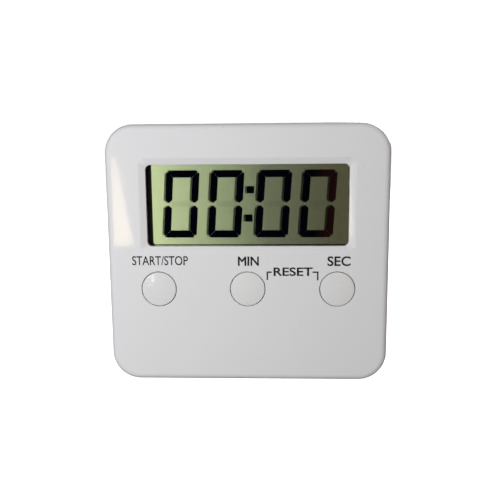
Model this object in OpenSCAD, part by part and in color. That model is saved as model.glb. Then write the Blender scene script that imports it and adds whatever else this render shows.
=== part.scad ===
// Digital kitchen timer: a white two-part case with a display and three push buttons.
// Every module is drawn face up: X to the right, Y up the face, Z out of the face.
// standing() then turns it upright, with the face towards -Y and the base at Z = 0.

/* [Case] */
// Width of the case
case_w = 65; // [62:1:72]
// Height of the case
case_h = 60; // [58:1:68]
// Depth of the case, without the buttons
case_d = 14.6; // [14.2:0.1:16]
// Depth of the front shell, up to the parting line
front_d = 6.5; // [6.2:0.1:7]
// Radius of the four corners, seen from the front
corner_r = 6.6; // [5.5:0.1:8]
// Radius of the rounded edge round the face and round the back
edge_r = 1.6; // [1.2:0.1:2]
// Thickness of the case walls
wall = 1.6; // [1.4:0.1:1.8]

/* [Window] */
// Width of the window opening
window_w = 46.4; // [40:0.1:48]
// Height of the window opening
window_h = 18.7; // [16:0.1:20]
// Height of the middle of the window above the base
window_y = 41.5; // [40:0.1:43]
// Depth of the sloped recess round the window
recess_d = 0.6; // [0.4:0.1:0.8]
// Width of the sloped recess round the window
recess_w = 1.5; // [1:0.1:1.8]

/* [Display] */
// Width of the display glass
glass_w = 49; // [48:0.5:49]
// Height of the front glass
glass_h = 23; // [22:0.5:23]
// Thickness of each glass
glass_t = 0.6; // [0.5:0.05:0.65]
// Height of the digits
digit_h = 15.7; // [12:0.1:16]
// Width of a digit
digit_w = 7.7; // [6:0.1:8]
// Width of a digit's upright segments
segment_w = 1.6; // [1:0.1:1.8]
// Height of a digit's top and bottom segments
bar_h = 1.65; // [1:0.05:2]
// Lean of the digits, in degrees
digit_lean = 3.75; // [0:0.25:8]

/* [Buttons] */
// Diameter of a button cap
button_dia = 7.95; // [7:0.05:8.5]
// Clearance all round a button cap
button_gap = 0.16; // [0.12:0.01:0.25]
// Distance between neighbouring buttons
button_pitch = 20.7; // [19:0.1:21.5]
// Height of the buttons above the base
button_y = 22.15; // [21:0.1:23]
// How far a button stands out of the face
button_rise = 0.4; // [0.2:0.1:0.4]
// Travel of a button
button_travel = 0.6; // [0.4:0.1:0.6]

/* [Battery] */
// Diameter of the button cell
cell_dia = 11.6; // [11.6:0.1:11.6]
// Thickness of the button cell
cell_t = 5.4; // [5:0.1:5.4]
// Diameter of the battery cover
cover_dia = 17; // [16.5:0.1:17.5]

/* [Back] */
// Width of the fold-out stand
stand_w = 24; // [20:0.5:26]
// Height of the stand's hinge above the base
hinge_y = 31; // [30:0.5:32]
// Diameter of the stand's hinge pins
hinge_pin_dia = 2; // [1.8:0.1:2.2]
// Diameter of a magnet
magnet_dia = 10; // [8:0.5:10]
// Thickness of a magnet
magnet_t = 2; // [1.5:0.1:2]

/* [Hidden] */

fine = 96;
small = 48;
eps = 0.01;
over = 1;

// Levels along the depth, from the middle of the whole timer
face_z = (case_d - button_rise) / 2;
back_z = face_z - case_d;
parting_z = face_z - front_d;
inner_face_z = face_z - wall;
inner_back_z = back_z + wall;

// The tongue on the back shell that fits inside the front shell's wall
lip_inset = 0.8;
lip_h = 0.9;
lip_gap = 0.08;
lip_root = 0.8;

// The window lens and the display stack behind it
window_r = 1.15;
lens_flange_t = 0.6;
lens_flange = 1.4;
lens_gap = 0.08;
bezel_rim_t = 0.5;
bezel_top_z = inner_face_z - lens_flange_t;
bezel_wall = 0.8;
film_t = 0.15;
front_glass_z = bezel_top_z - bezel_rim_t - film_t;
segment_t = 0.05;
segment_z = front_glass_z - glass_t;
rear_glass_z = segment_z - segment_t;
reflector_z = rear_glass_z - glass_t;
ledge_h = 2;
display_x = 0.5;
display_y = 41.1;
view_w = 45.4;
view_h = 18.9;
view_y = window_y + 0.25;
view_r = 0.6;
glass_gap = 0.1;
film_w = 48;
film_h = 20;
foam_h = 4;

// The digits
digits_x = 0.5;
digits_y = window_y + 0.15;
digit_pitch = 10.43;
pair_offset = 10.73;
corner_cut = 0.75;
hairline = 0.08;
waist_gap = 0.27;
waist_taper = 0.7;
colon_w = 1.65;
colon_y = 3.3;

// The circuit board and what is on it
board_top_z = parting_z + 0.8;
board_t = 1.2;
board_back_z = board_top_z - board_t;
board_w = 51;
board_low_y = 9;
board_high_y = 55;
board_screw_x = 10.35;
board_screw_y = [13.4, 26.6];
zebra_w = 46;
zebra_h = 1.5;
chip_x = -17;
chip_y = 31;
blob_dia = 8;
blob_h = 1.2;
crystal_x = 14;
crystal_y = 34;
crystal_dia = 2;
crystal_l = 6;
chip_w = 0.8;
chip_l = 1.6;
chip_t = 0.6;
chip_pitch = 2;
chip_row_y = 23;
capacitor_row_x = -8;
resistor_row_x = 2;

// Button parts
flange_dia = 9.4;
flange_t = 0.8;
stem_dia = 4;
cap_gap = 0.1;
stem_end_z = board_top_z + 1.8;
cap_round = 0.2;
cap_dome = button_rise - 0.1;
membrane_w = 50;
membrane_h = 9.8;
membrane_t = 0.8;
dome_dia = 7;
dome_wall = 0.4;
plunger_dia = 4.4;
pill_dia = 3.2;
pill_t = 0.25;
pill_z = board_top_z + button_travel;

// The battery compartment
cell_y = 46;
cover_t = 1.2;
cover_gap = 0.15;
ledge_t = 0.9;
ledge_dia = 14.6;
groove_t = 1.2;
groove_dia = cover_dia + 0.5;
pocket_dia = 12.2;
housing_dia = 20.4;
contact_t = 0.2;
floor_top_z = -0.1;
cell_back_z = back_z + cover_t;
cell_front_z = cell_back_z + cell_t;
ledge_z = back_z + cover_t + 0.1;
groove_z = ledge_z + ledge_t;
lug_w = 3.6;
lug_dia = 16.6;
boss_dia = 14.3;
boss_l = 2.1;
coin_slot_w = 1.8;
coin_slot_l = 11;
coin_slot_d = 0.6;
cover_turn = 40;
leaf_w = 3;
leaf_x = -6.05;
tail_x = 4;
tail_w = 2.4;

// The stand and its hinge
stand_t = 1.8;
stand_gap = 0.2;
stand_low_y = 8;
barrel_dia = 2.8;
hinge_z = back_z + 1.5;
hinge_gap = 0.05;
pin_l = 1.6;
recess_wall = 1.2;
recess_z = back_z + 2.1;
barrel_room = 1.6;
barrel_floor_z = back_z + 3.1;
hinge_block = 1.2;
notch_dia = 10;
stand_corner_r = 2.5;

// Fasteners, posts, magnets and sounder
case_screw_x = 28.2;
case_screw_y = [4.6, 55.4];
case_post_dia = 4.4;
case_sleeve_dia = 5;
case_screw_dia = 1.8;
case_screw_l = 9;
case_head_dia = 3.4;
case_head_t = 1.3;
case_head_z = back_z + 1.9;
board_post_dia = 3.6;
board_screw_dia = 1.4;
board_head_dia = 3;
board_head_t = 0.9;
board_screw_l = 4;
screw_gap = 0.05;
cross_w = 0.5;
cross_d = 0.5;
case_pilot_end_z = case_head_z + case_screw_l + 0.3;
board_pilot_l = board_screw_l - board_t + 0.3;
magnet_gap = 0.1;
magnet_floor_z = back_z + magnet_t + 0.1 + recess_wall;
magnet_wall_dia = magnet_dia + 2 * recess_wall;
magnet_x = 19.5;
piezo_x = 21.8;
piezo_y = 18;
piezo_dia = 15;
piezo_seat = 0.8;
piezo_t = 0.2;
ceramic_dia = 10;
sound_hole_dia = 1.2;
sound_ring_r = 3;

// The sounder's wires, from the disc to the back of the board
wire_dia = 0.9;
wire_sides = 8;
piezo_z = inner_back_z + piezo_seat;
red_route = [
    [22, 18, piezo_z + 2 * piezo_t], [22, 18.1, -4], [22.1, 18.8, -3.3], [22.3, 20.5, -3],
    [22.5, 23, -2.8], [22.6, 25.5, -2.6], [22.6, 27.5, -2.1], [22.5, 28.7, -1.3], [22.5, 29, board_back_z]
];
black_route = [
    [20.4, 24, piezo_z + piezo_t], [20.4, 24.1, -4.1], [20.4, 24.7, -3.4], [20.3, 25.8, -2.9],
    [20.3, 27.2, -2.3], [20.2, 28.5, -1.4], [20.2, 29, board_back_z]
];

// Turns a face-up piece upright
module standing() {
    rotate([90, 0, 0]) children();
}

module rounded_rect(w, h, r) {
    square([w - 2 * r, h], center = true);
    square([w, h - 2 * r], center = true);
    for (sx = [-1, 1], sy = [-1, 1])
        translate([sx * (w / 2 - r), sy * (h / 2 - r)]) circle(r = r, $fn = fine);
}

// A flat plate with rounded corners, from level z0 to level z1, standing on the base
module case_prism(inset, z0, z1) {
    translate([0, case_h / 2, z0])
        linear_extrude(z1 - z0)
            rounded_rect(case_w - 2 * inset, case_h - 2 * inset, corner_r - inset);
}

// The section of the case's rim: square at the bottom, rounded at the top outer edge
module rim_section(t) {
    difference() {
        square([corner_r, t]);
        translate([corner_r - edge_r, t - edge_r])
            difference() {
                square(edge_r + over);
                circle(r = edge_r, $fn = fine);
            }
    }
}

// One case half as a solid block, its rounded face up, from Z = 0 to Z = t
module case_block(t) {
    flat_w = case_w - 2 * corner_r;
    flat_h = case_h - 2 * corner_r;
    translate([0, case_h / 2, 0]) {
        translate([-flat_w / 2, -flat_h / 2, 0]) cube([flat_w, flat_h, t]);
        for (sx = [0, 1], sy = [0, 1])
            mirror([sx, 0, 0]) mirror([0, sy, 0])
                translate([flat_w / 2, flat_h / 2, 0])
                    rotate_extrude(angle = 90, $fn = fine) rim_section(t);
        for (sx = [0, 1])
            mirror([sx, 0, 0])
                translate([flat_w / 2, flat_h / 2, 0])
                    rotate([90, 0, 0]) linear_extrude(flat_h) rim_section(t);
        for (sy = [0, 1])
            mirror([0, sy, 0])
                translate([-flat_w / 2, flat_h / 2, 0])
                    rotate([90, 0, 90]) linear_extrude(flat_w) rim_section(t);
    }
}

// A cutter that widens from w by h at Z = 0 by grow on each side at Z = d
module sloped_cutter(w, h, grow, d) {
    hull() {
        translate([-w / 2, -h / 2, 0]) cube([w, h, eps]);
        translate([-w / 2 - grow, -h / 2 - grow, d]) cube([w + 2 * grow, h + 2 * grow, eps]);
    }
}

module at_buttons() {
    for (i = [-1, 0, 1])
        translate([i * button_pitch, button_y, 0]) children();
}

module at_case_screws() {
    for (sx = [-1, 1], y = case_screw_y)
        translate([sx * case_screw_x, y, 0]) children();
}

module at_board_screws() {
    for (sx = [-1, 1], y = board_screw_y)
        translate([sx * board_screw_x, y, 0]) children();
}

// Front half of the case: a shallow tray with the window, the button holes and its screw posts
module front_shell() {
    color([0.85, 0.85, 0.86]) standing() difference() {
        union() {
            difference() {
                translate([0, 0, parting_z]) case_block(front_d);
                case_prism(wall, parting_z - over, inner_face_z);
                case_prism(lip_inset, parting_z - over, parting_z + lip_h + lip_gap);
            }
            at_case_screws()
                translate([0, 0, parting_z + lip_h + lip_gap])
                    cylinder(d = case_post_dia, h = inner_face_z - parting_z - lip_h, $fn = small);
            at_board_screws()
                translate([0, 0, board_top_z])
                    cylinder(d = board_post_dia, h = inner_face_z - board_top_z + eps, $fn = small);
        }
        translate([0, window_y, inner_face_z - over])
            linear_extrude(wall + 2 * over) rounded_rect(window_w, window_h, window_r);
        translate([0, window_y, face_z - recess_d])
            sloped_cutter(window_w, window_h, recess_w, recess_d + eps);
        at_buttons()
            translate([0, 0, inner_face_z - over])
                cylinder(d = button_dia + 2 * button_gap, h = wall + 2 * over, $fn = fine);
        at_case_screws()
            translate([0, 0, parting_z])
                cylinder(d = case_screw_dia + 2 * screw_gap, h = case_pilot_end_z - parting_z, $fn = small);
        at_board_screws()
            translate([0, 0, board_top_z - over])
                cylinder(d = board_screw_dia + 2 * screw_gap, h = board_pilot_l + over, $fn = small);
    }
}

// The round housing of the battery compartment, solid
module cell_housing() {
    translate([0, cell_y, inner_back_z - eps])
        cylinder(d = housing_dia, h = floor_top_z - inner_back_z + eps, $fn = fine);
}

// Everything that is cut out of the battery compartment
module cell_cuts() {
    translate([0, cell_y, 0]) {
        translate([0, 0, back_z - over])
            cylinder(d = cover_dia + 2 * cover_gap, h = ledge_z - back_z + over, $fn = fine);
        translate([0, 0, ledge_z - over])
            cylinder(d = ledge_dia, h = ledge_t + 2 * over, $fn = fine);
        translate([0, 0, groove_z])
            cylinder(d = groove_dia, h = groove_t, $fn = fine);
        translate([0, 0, groove_z])
            cylinder(d = pocket_dia, h = cell_front_z + contact_t - groove_z, $fn = fine);
        rotate([0, 0, -cover_turn]) intersection() {
            translate([0, 0, ledge_z - over])
                cylinder(d = lug_dia + 2 * cover_gap, h = ledge_t + 2 * over, $fn = fine);
            translate([-cover_dia, -lug_w / 2 - cover_gap, ledge_z - over])
                cube([2 * cover_dia, lug_w + 2 * cover_gap, ledge_t + 2 * over]);
        }
        translate([leaf_x - 0.3, -leaf_w / 2 - 0.2, groove_z + groove_t - eps])
            cube([0.8, leaf_w + 0.4, floor_top_z - groove_z - groove_t + over]);
        translate([tail_x - 0.2, -tail_w / 2 - 0.2, cell_front_z])
            cube([contact_t + 0.4, tail_w + 0.4, floor_top_z - cell_front_z + over]);
    }
}

// The inner wall behind the stand's recess, with the two hinge blocks
module stand_housing() {
    half = stand_w / 2 + stand_gap + recess_wall;
    translate([-half, stand_low_y - recess_wall, inner_back_z - eps])
        cube([2 * half, hinge_y + barrel_room + recess_wall - stand_low_y + recess_wall,
            recess_z + recess_wall - inner_back_z + eps]);
    translate([-half - hinge_block, hinge_y - barrel_room - recess_wall, inner_back_z - eps])
        cube([2 * (half + hinge_block), 2 * (barrel_room + recess_wall),
            barrel_floor_z + recess_wall - inner_back_z + eps]);
    translate([0, stand_low_y, inner_back_z - eps])
        cylinder(
            d = notch_dia + 2 * recess_wall, h = recess_z + recess_wall - inner_back_z + eps, $fn = fine
        );
}

// The stand's recess, its barrel room, its finger notch and its hinge holes
module stand_cuts() {
    half = stand_w / 2 + stand_gap;
    translate([-half, stand_low_y - stand_gap, back_z - over])
        cube([2 * half, hinge_y + barrel_room - stand_low_y + stand_gap, recess_z - back_z + over]);
    translate([-half, hinge_y - barrel_room, back_z - over])
        cube([2 * half, 2 * barrel_room, barrel_floor_z - back_z + over]);
    translate([0, stand_low_y, back_z - over])
        cylinder(d = notch_dia, h = recess_z - back_z + over, $fn = fine);
    translate([-half - pin_l, hinge_y, hinge_z])
        rotate([0, 90, 0])
            cylinder(d = hinge_pin_dia + 2 * hinge_gap, h = 2 * (half + pin_l), $fn = small);
}

module at_magnets() {
    for (sx = [-1, 1]) translate([sx * magnet_x, cell_y, 0]) children();
}

module at_sound_holes() {
    translate([piezo_x, piezo_y, 0]) {
        children();
        for (a = [0:60:300])
            rotate([0, 0, a]) translate([sound_ring_r, 0, 0]) children();
    }
}

// Back half of the case: battery compartment, stand recess, magnet seats, sounder ring and screw sleeves
module back_shell() {
    color([0.84, 0.84, 0.85]) standing() difference() {
        union() {
            difference() {
                translate([0, 0, parting_z]) mirror([0, 0, 1]) case_block(case_d - front_d);
                case_prism(wall, inner_back_z, parting_z + over);
            }
            difference() {
                case_prism(lip_inset + lip_gap, parting_z - lip_root, parting_z + lip_h);
                case_prism(wall, parting_z - lip_root - over, parting_z + lip_h + over);
            }
            cell_housing();
            stand_housing();
            at_magnets()
                translate([0, 0, inner_back_z - eps])
                    cylinder(d = magnet_wall_dia, h = magnet_floor_z - inner_back_z, $fn = fine);
            translate([piezo_x, piezo_y, inner_back_z - eps])
                cylinder(d = piezo_dia + 1, h = piezo_seat + eps, $fn = fine);
            at_case_screws()
                translate([0, 0, inner_back_z - eps])
                    cylinder(d = case_sleeve_dia, h = parting_z + lip_h - inner_back_z, $fn = small);
        }
        cell_cuts();
        stand_cuts();
        at_magnets()
            translate([0, 0, back_z - over])
                cylinder(d = magnet_dia + 2 * magnet_gap, h = magnet_t + over + 0.1, $fn = fine);
        translate([piezo_x, piezo_y, inner_back_z])
            cylinder(d = piezo_dia - 2, h = piezo_seat + over, $fn = fine);
        at_sound_holes()
            translate([0, 0, back_z - over])
                cylinder(d = sound_hole_dia, h = wall + 2 * over, $fn = small);
        at_case_screws() {
            translate([0, 0, back_z - over])
                cylinder(d = case_head_dia + 0.4, h = case_head_z - back_z + over, $fn = small);
            translate([0, 0, back_z - over])
                cylinder(d = case_screw_dia + 0.3, h = case_d, $fn = small);
        }
    }
}

// Clear window with a step: the raised middle fills the opening, the flange is glued behind the wall
module window_lens() {
    color([0.9, 0.92, 0.92, 0.3]) standing() translate([0, window_y, 0]) {
        translate([0, 0, inner_face_z - eps])
            linear_extrude(face_z - recess_d - inner_face_z + eps)
                rounded_rect(window_w - 2 * lens_gap, window_h - 2 * lens_gap, window_r - lens_gap);
        translate([0, 0, bezel_top_z])
            linear_extrude(lens_flange_t)
                rounded_rect(window_w + 2 * lens_flange, window_h + 2 * lens_flange, window_r);
    }
}

// Black frame that holds the display glass against the board
module lcd_bezel() {
    room_w = glass_w + 2 * glass_gap;
    room_h = glass_h + 2 * glass_gap;
    outer_w = room_w + 2 * bezel_wall;
    outer_h = room_h + 2 * bezel_wall;
    color([0.05, 0.05, 0.05]) standing() difference() {
        translate([display_x - outer_w / 2, display_y - outer_h / 2, board_top_z])
            cube([outer_w, outer_h, bezel_top_z - board_top_z]);
        translate([display_x - room_w / 2, display_y - room_h / 2, board_top_z - over])
            cube([room_w, room_h, bezel_top_z - bezel_rim_t - board_top_z + over]);
        translate([display_x, view_y, board_top_z])
            linear_extrude(bezel_top_z - board_top_z + over) rounded_rect(view_w, view_h, view_r);
    }
}

// A flat layer of the display stack: its size, the height of its middle and its two levels
module display_layer(w, h, y, z0, z1) {
    translate([display_x - w / 2, y - h / 2, z0]) cube([w, h, z1 - z0]);
}

module lcd_polariser() {
    color([0.6, 0.65, 0.5, 0.3]) standing()
        display_layer(film_w, film_h, view_y, front_glass_z, front_glass_z + film_t);
}

module lcd_front_glass() {
    color([0.7, 0.75, 0.6, 0.3]) standing()
        display_layer(glass_w, glass_h, display_y, segment_z, front_glass_z);
}

module lcd_rear_glass() {
    color([0.7, 0.75, 0.6, 0.3]) standing()
        display_layer(glass_w, glass_h - ledge_h, display_y + ledge_h / 2, reflector_z, rear_glass_z);
}

// Reflecting film behind the glass, which gives the display its grey-green ground
module lcd_reflector() {
    color([0.67, 0.71, 0.55]) standing()
        display_layer(film_w, film_h, view_y, reflector_z - film_t, reflector_z);
}

// A point of a digit, leaned to the right
function lean(p) = [p[0] + p[1] * tan(digit_lean), p[1]];

// A segment outline given for the top right, moved to side sx and sy of the digit
function placed(points, sx, sy) = [for (p = points) lean([sx * p[0], sy * p[1]])];

// The top bar of a digit: mitred ends and cut corners
function bar_points(w, h) = [
    [-w + corner_cut, h], [w - corner_cut, h],
    [w - corner_cut / 2 - hairline, h - corner_cut / 2],
    [w - segment_w - hairline, h - bar_h], [-w + segment_w + hairline, h - bar_h],
    [-w + corner_cut / 2 + hairline, h - corner_cut / 2]
];

// The upper right post of a digit: mitred at the corner and pointed at the waist
function post_points(w, h) = [
    [w, h - corner_cut], [w - corner_cut / 2, h - corner_cut / 2 - hairline],
    [w - segment_w, h - bar_h - hairline], [w - segment_w, waist_gap + waist_taper],
    [w - segment_w / 2, waist_gap], [w, waist_gap + waist_taper]
];

module digit_zero() {
    for (sy = [-1, 1]) {
        polygon(placed(bar_points(digit_w / 2, digit_h / 2), 1, sy));
        for (sx = [-1, 1]) polygon(placed(post_points(digit_w / 2, digit_h / 2), sx, sy));
    }
}

// The dark segments that are switched on: four zeros and the colon
module lcd_segments() {
    color([0.03, 0.04, 0.07]) standing()
        translate([digits_x, digits_y, rear_glass_z]) linear_extrude(segment_t) {
            for (pair = [-1, 1], digit = [-1, 1])
                translate([(pair * pair_offset + digit * digit_pitch / 2), 0]) digit_zero();
            for (y = [-colon_y, colon_y])
                translate(lean([0, y])) square(colon_w, center = true);
        }
}

// Striped elastomer strip that joins the board to the contacts on the glass ledge
module zebra_strip() {
    color([0.85, 0.6, 0.65]) standing()
        display_layer(zebra_w, zebra_h, display_y - glass_h / 2 + ledge_h / 2, board_top_z, segment_z);
}

// Foam strip behind the top of the display
module foam_pad() {
    color([0.2, 0.2, 0.2]) standing()
        display_layer(zebra_w, foam_h, display_y + glass_h / 2 - foam_h, board_top_z, reflector_z - film_t);
}

module circuit_board() {
    color([0.1, 0.4, 0.2]) standing() difference() {
        translate([-board_w / 2, board_low_y, board_back_z])
            cube([board_w, board_high_y - board_low_y, board_t]);
        at_board_screws()
            translate([0, 0, board_back_z - over])
                cylinder(d = board_screw_dia + 0.2, h = board_t + 2 * over, $fn = small);
    }
}

// Round drop of black resin over the bare chip
module chip_blob() {
    color([0.04, 0.04, 0.05]) standing()
        translate([chip_x, chip_y, board_back_z]) mirror([0, 0, 1])
            rotate_extrude($fn = fine) polygon(dome_points(blob_dia / 2, blob_h));
}

// The half section of a low dome of radius r and height h
function dome_points(r, h) = concat([[0, 0]], [for (a = [0:15:90]) [r * cos(a), h * sin(a)]]);

// Small metal can with the tuning crystal, lying on the back of the board
module timing_crystal() {
    color([0.75, 0.75, 0.77]) standing()
        translate([crystal_x, crystal_y, board_back_z - crystal_dia / 2])
            rotate([0, 90, 0]) cylinder(d = crystal_dia, h = crystal_l, $fn = small);
}

// A row of n small blocks on the back of the board
module chip_row(x, y, n) {
    for (i = [0:n - 1])
        translate([x + i * chip_pitch, y, board_back_z - chip_t]) cube([chip_w, chip_l, chip_t]);
}

module chip_capacitors() {
    color([0.6, 0.45, 0.3]) standing() chip_row(capacitor_row_x, chip_row_y, 4);
}

module chip_resistors() {
    color([0.1, 0.1, 0.1]) standing() chip_row(resistor_row_x, chip_row_y, 3);
}

// Silicone sheet with a hollow dome under each button; a plug under each dome carries the contact pill
module key_membrane() {
    plug_z = pill_z + pill_t;
    sheet_z = board_top_z + membrane_t;
    color([0.8, 0.8, 0.78]) standing() {
        difference() {
            translate([0, button_y, board_top_z])
                linear_extrude(membrane_t) rounded_rect(membrane_w, membrane_h, 2);
            at_buttons()
                translate([0, 0, board_top_z - over])
                    cylinder(d = dome_dia - dome_wall, h = membrane_t + 2 * over, $fn = fine);
            at_board_screws()
                translate([0, 0, board_top_z - over])
                    cylinder(d = board_post_dia + 0.6, h = membrane_t + 2 * over, $fn = small);
        }
        at_buttons()
            rotate_extrude($fn = fine) polygon([
                [0, plug_z], [0, stem_end_z], [plunger_dia / 2, stem_end_z],
                [plunger_dia / 2, stem_end_z - dome_wall], [dome_dia / 2, sheet_z],
                [dome_dia / 2, board_top_z], [dome_dia / 2 - dome_wall, board_top_z],
                [dome_dia / 2 - dome_wall, sheet_z - dome_wall / 2],
                [plunger_dia / 2 - dome_wall, stem_end_z - 2 * dome_wall],
                [plunger_dia / 2 - dome_wall, plug_z]
            ]);
    }
}

// Number i of the three buttons, counted from the left: slightly domed cap, flange and stem
module button(i) {
    flange_z = inner_face_z - cap_gap - flange_t;
    cap_r = button_dia / 2;
    rim_z = face_z + button_rise - cap_dome - cap_round;
    flat_r = cap_r - cap_round;
    color([0.86, 0.86, 0.87]) standing()
        translate([(i - 1) * button_pitch, button_y, 0])
            rotate_extrude($fn = fine) polygon(concat(
                [[0, stem_end_z], [stem_dia / 2, stem_end_z], [stem_dia / 2, flange_z],
                    [flange_dia / 2, flange_z], [flange_dia / 2, flange_z + flange_t],
                    [cap_r, flange_z + flange_t], [cap_r, rim_z]],
                [for (t = [1:-0.2:0]) [flat_r * t, rim_z + cap_round + cap_dome * (1 - t * t)]]
            ));
}

module start_button() {
    button(0);
}

module minute_button() {
    button(1);
}

module second_button() {
    button(2);
}

// Carbon contact pill under the dome of button i
module pill(i) {
    color([0.12, 0.12, 0.12]) standing()
        translate([(i - 1) * button_pitch, button_y, pill_z])
            cylinder(d = pill_dia, h = pill_t, $fn = small);
}

module start_pill() {
    pill(0);
}

module minute_pill() {
    pill(1);
}

module second_pill() {
    pill(2);
}

module piezo_disc() {
    color([0.8, 0.65, 0.3]) standing()
        translate([piezo_x, piezo_y, piezo_z]) cylinder(d = piezo_dia, h = piezo_t, $fn = fine);
}

module piezo_ceramic() {
    color([0.85, 0.83, 0.78]) standing()
        translate([piezo_x, piezo_y, piezo_z + piezo_t]) cylinder(d = ceramic_dia, h = piezo_t, $fn = fine);
}

function unit(v) = v / norm(v);

// Direction of a route at its point i
function heading(route, i) =
    i == 0 || i == len(route) - 1 ? [0, 0, 1] : unit(route[i + 1] - route[i - 1]);

// One ring of corners round point i of a route
function ring(route, i, r) =
    let (across = unit(cross(heading(route, i), [1, 0, 0])), up = cross(heading(route, i), across))
    [for (k = [0:wire_sides - 1])
        let (a = 360 * k / wire_sides)
        route[i] + r * (cos(a) * across + sin(a) * up)];

// A round wire along a route, as one closed tube
module wire(route) {
    last = len(route) - 1;
    corners = [for (i = [0:last]) each ring(route, i, wire_dia / 2)];
    walls = [for (i = [0:last - 1], k = [0:wire_sides - 1])
        let (next = (k + 1) % wire_sides, low = i * wire_sides, high = low + wire_sides)
        each [[low + k, high + k, high + next], [low + k, high + next, low + next]]];
    ends = [
        [for (k = [0:wire_sides - 1]) k],
        [for (k = [wire_sides - 1:-1:0]) last * wire_sides + k]
    ];
    polyhedron(points = corners, faces = concat(walls, ends));
}

module piezo_wire_red() {
    color([0.7, 0.05, 0.05]) standing() wire(red_route);
}

module piezo_wire_black() {
    color([0.05, 0.05, 0.05]) standing() wire(black_route);
}

// Button cell: the positive can faces the cover, the smaller negative cap faces the board
module button_cell() {
    cap_t = 0.3;
    color([0.75, 0.75, 0.76]) standing() translate([0, cell_y, cell_back_z]) {
        cylinder(d = cell_dia, h = cell_t - cap_t, $fn = fine);
        cylinder(d = cell_dia - 2.2, h = cell_t, $fn = fine);
    }
}

// Spring leaf beside the cell, soldered to the board
module positive_contact() {
    leaf_low_z = groove_z + groove_t + contact_t / 2;
    color([0.8, 0.78, 0.7]) standing()
        translate([leaf_x, cell_y - leaf_w / 2, leaf_low_z])
            cube([contact_t, leaf_w, board_back_z - leaf_low_z]);
}

// Plate under the cell with a tail that is soldered to the board
module negative_contact() {
    plate_w = 4;
    color([0.8, 0.78, 0.7]) standing() translate([0, cell_y, cell_front_z]) {
        translate([-tail_x, -plate_w / 2, 0]) cube([2 * tail_x + contact_t, plate_w, contact_t]);
        translate([tail_x, -tail_w / 2, 0]) cube([contact_t, tail_w, board_back_z - cell_front_z]);
    }
}

// Round cover with a coin slot outside and two bayonet lugs inside
module battery_cover() {
    color([0.84, 0.84, 0.85]) standing() translate([0, cell_y, back_z]) {
        difference() {
            union() {
                cylinder(d = cover_dia, h = cover_t, $fn = fine);
                cylinder(d = boss_dia, h = cover_t + boss_l, $fn = fine);
                intersection() {
                    translate([0, 0, cover_t + ledge_t + contact_t])
                        cylinder(d = lug_dia, h = boss_l - ledge_t - contact_t, $fn = fine);
                    translate([-lug_dia, -lug_w / 2, 0])
                        cube([2 * lug_dia, lug_w, cover_t + boss_l]);
                }
            }
            translate([0, 0, cover_t])
                cylinder(d = pocket_dia, h = boss_l + over, $fn = fine);
            translate([-coin_slot_l / 2, -coin_slot_w / 2, -over])
                cube([coin_slot_l, coin_slot_w, coin_slot_d + over]);
        }
    }
}

// Fold-out stand: a flat leaf with a hinge barrel at its top edge and a pin at each end of the barrel
module stand() {
    leaf_z = back_z + 0.05;
    leaf_l = hinge_y - stand_low_y;
    color([0.84, 0.84, 0.85]) standing() {
        translate([0, stand_low_y + leaf_l / 2, leaf_z])
            linear_extrude(stand_t) {
                translate([0, stand_corner_r / 2])
                    square([stand_w, leaf_l - stand_corner_r], center = true);
                translate([0, (stand_corner_r - leaf_l) / 2])
                    square([stand_w - 2 * stand_corner_r, stand_corner_r + eps], center = true);
                for (sx = [-1, 1])
                    translate([sx * (stand_w / 2 - stand_corner_r), stand_corner_r - leaf_l / 2])
                        circle(r = stand_corner_r, $fn = fine);
            }
        translate([-stand_w / 2, hinge_y, hinge_z])
            rotate([0, 90, 0]) cylinder(d = barrel_dia, h = stand_w, $fn = fine);
        translate([-stand_w / 2 - pin_l, hinge_y, hinge_z])
            rotate([0, 90, 0]) cylinder(d = hinge_pin_dia, h = stand_w + 2 * pin_l, $fn = small);
    }
}

// Disc magnet in the back; side is -1 on the left and 1 on the right, seen from the front
module magnet(side) {
    color([0.2, 0.2, 0.21]) standing()
        translate([side * magnet_x, cell_y, back_z + 0.05])
            cylinder(d = magnet_dia, h = magnet_t, $fn = fine);
}

module magnet_left() {
    magnet(-1);
}

module magnet_right() {
    magnet(1);
}

// Self-tapping screw pointing up the Z axis, its head below Z = 0
module screw(head_dia, head_t, dia, l) {
    difference() {
        union() {
            translate([0, 0, -head_t]) cylinder(d = head_dia, h = head_t, $fn = small);
            cylinder(d = dia, h = l - dia, $fn = small);
            translate([0, 0, l - dia]) cylinder(d1 = dia, d2 = dia / 4, h = dia, $fn = small);
        }
        for (a = [0, 90])
            rotate([0, 0, a])
                translate([-head_dia / 3, -cross_w / 2, -head_t - over])
                    cube([head_dia / 1.5, cross_w, cross_d + over]);
    }
}

module case_screws() {
    color([0.6, 0.6, 0.62]) standing() at_case_screws()
        translate([0, 0, case_head_z]) screw(case_head_dia, case_head_t, case_screw_dia, case_screw_l);
}

module board_screws() {
    color([0.6, 0.6, 0.62]) standing() at_board_screws()
        translate([0, 0, board_back_z]) screw(board_head_dia, board_head_t, board_screw_dia, board_screw_l);
}

front_shell();
back_shell();
window_lens();
lcd_bezel();
lcd_polariser();
lcd_front_glass();
lcd_segments();
lcd_rear_glass();
lcd_reflector();
zebra_strip();
foam_pad();
circuit_board();
chip_blob();
timing_crystal();
chip_capacitors();
chip_resistors();
key_membrane();
start_button();
minute_button();
second_button();
start_pill();
minute_pill();
second_pill();
piezo_disc();
piezo_ceramic();
piezo_wire_red();
piezo_wire_black();
button_cell();
positive_contact();
negative_contact();
battery_cover();
stand();
magnet_left();
magnet_right();
case_screws();
board_screws();
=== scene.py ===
import math

import bmesh
import bpy
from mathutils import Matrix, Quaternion, Vector


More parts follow.
